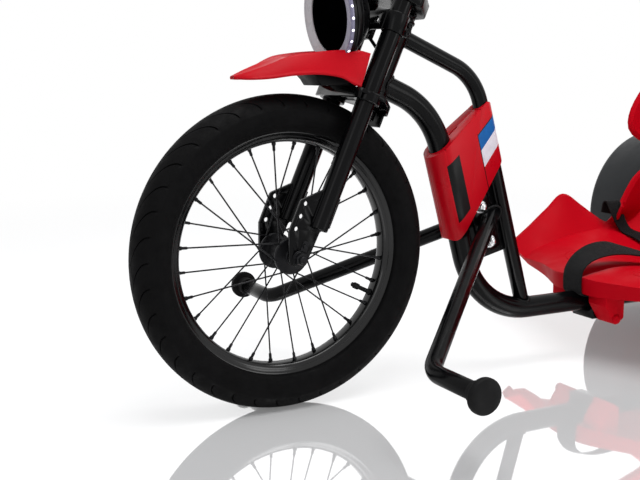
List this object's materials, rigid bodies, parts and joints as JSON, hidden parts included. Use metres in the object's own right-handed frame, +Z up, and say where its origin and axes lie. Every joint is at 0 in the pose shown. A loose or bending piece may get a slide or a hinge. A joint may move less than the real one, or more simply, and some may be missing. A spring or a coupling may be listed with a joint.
{
  "type": "drift trike",
  "caption": "Low electric drift trike with a raked spoked front wheel, wide smooth rear wheels, a tub seat with a harness and front footrests.",
  "frame": {"origin": "on the floor, under the centre of the box round the whole trike", "axes": "+X towards the front wheel, +Y to the rider's left, +Z up"},
  "size_m": [1.3976, 0.794, 0.7318],
  "materials": {
    "frame_paint": "gloss black paint",
    "dark_steel": "dark plated steel",
    "bright_steel": "bright plated steel",
    "red_shell": "gloss red moulded plastic",
    "front_tyre": "matt black rubber",
    "grip_rubber": "soft matt rubber",
    "black_plastic": "satin black moulded plastic",
    "drift_sleeve": "smooth dark grey hard plastic",
    "webbing": "woven black webbing",
    "lamp_lens": "smoked clear plastic",
    "lamp_ring": "milky light guide"
  },
  "bodies": {
    "frame": {"head_tube": "frame_paint", "headset_upper_cup": "dark_steel", "headset_lower_cup": "dark_steel", "frame_front_tube": "frame_paint", "frame_rear_tube": "frame_paint", "gusset_plate": "frame_paint", "peg_bolt_upper": "bright_steel", "peg_bolt_lower": "bright_steel", "footrest_bar_left": "frame_paint", "footrest_cap_left": "grip_rubber", "footrest_bar_right": "frame_paint", "footrest_cap_right": "grip_rubber", "tube_cover_left": "red_shell", "tube_cover_right": "red_shell", "seat_shell": "red_shell", "seat_front_bracket": "frame_paint", "seat_rear_bracket": "frame_paint", "seat_lug_bolt": "dark_steel", "crotch_strap": "webbing", "lap_strap_left": "webbing", "lap_strap_right": "webbing", "shoulder_strap_left": "webbing", "shoulder_strap_right": "webbing", "buckle": "black_plastic", "rear_axle_beam": "frame_paint", "gear_motor_left": "black_plastic", "gear_motor_right": "black_plastic", "battery_tray": "frame_paint", "battery_case": "black_plastic", "battery_lid": "black_plastic", "seat_back_hoop": "frame_paint"},
    "fork": {"fork_leg_left": "frame_paint", "fork_leg_right": "frame_paint", "front_axle": "dark_steel", "lower_crown": "frame_paint", "upper_crown": "frame_paint", "stem_cap": "frame_paint", "headlight_bracket": "frame_paint", "headlight_housing": "black_plastic", "headlight_ring": "lamp_ring", "headlight_lens": "lamp_lens", "mudguard": "red_shell", "handlebar": "frame_paint", "left_grip": "grip_rubber", "switch_housing": "black_plastic", "throttle_housing": "black_plastic"},
    "front_wheel": {"front_tyre": "front_tyre", "front_rim": "frame_paint", "front_hub_and_spokes": "dark_steel", "front_valve": "black_plastic"},
    "rear_left_wheel": {"rear_tyre_left": "drift_sleeve", "rear_wheel_left": "black_plastic", "rear_hub_cap_left": "black_plastic"},
    "rear_right_wheel": {"rear_tyre_right": "drift_sleeve", "rear_wheel_right": "black_plastic", "rear_hub_cap_right": "black_plastic"},
    "throttle": {"throttle_grip": "grip_rubber"},
    "direction_switch": {"direction_switch": "red_shell"},
    "power_button": {"power_button": "red_shell"},
    "buckle_button": {"buckle_button": "red_shell"}
  },
  "joints": [
    {"name": "steering", "type": "hinge", "parent": "frame", "child": "fork", "pos_m": [0.3363, 0, 0.4659], "axis": [-0.3971, 0, 0.9178], "range_deg": [-35, 35]},
    {"name": "front_wheel_spin", "type": "hinge", "parent": "fork", "child": "front_wheel", "pos_m": [0.49225, 0, 0.2065], "axis": [0, 1, 0], "continuous": true},
    {"name": "rear_left_wheel_spin", "type": "hinge", "parent": "frame", "child": "rear_left_wheel", "pos_m": [-0.53875, 0.331, 0.16], "axis": [0, 1, 0], "continuous": true},
    {"name": "rear_right_wheel_spin", "type": "hinge", "parent": "frame", "child": "rear_right_wheel", "pos_m": [-0.53875, -0.331, 0.16], "axis": [0, 1, 0], "continuous": true},
    {"name": "throttle_twist", "type": "hinge", "parent": "fork", "child": "throttle", "pos_m": [0.16021, -0.345, 0.69152], "axis": [-0.3019, -0.9525, -0.0402], "range_deg": [0, 60], "stiffness_Nm_per_rad": 0.25, "springref_deg": -20.05},
    {"name": "direction_rocker", "type": "hinge", "parent": "fork", "child": "direction_switch", "pos_m": [0.18923, 0.21677, 0.72383], "axis": [-0.3019, 0.9525, -0.0402], "range_deg": [-12, 12]},
    {"name": "power_press", "type": "slide", "parent": "frame", "child": "power_button", "axis": [1, 0, 0], "range_m": [0, 0.0025], "stiffness_N_per_m": 400, "springref_m": -0.003},
    {"name": "buckle_press", "type": "slide", "parent": "frame", "child": "buckle_button", "axis": [0, 0, -1], "range_m": [0, 0.0022], "stiffness_N_per_m": 400, "springref_m": -0.003}
  ]
}
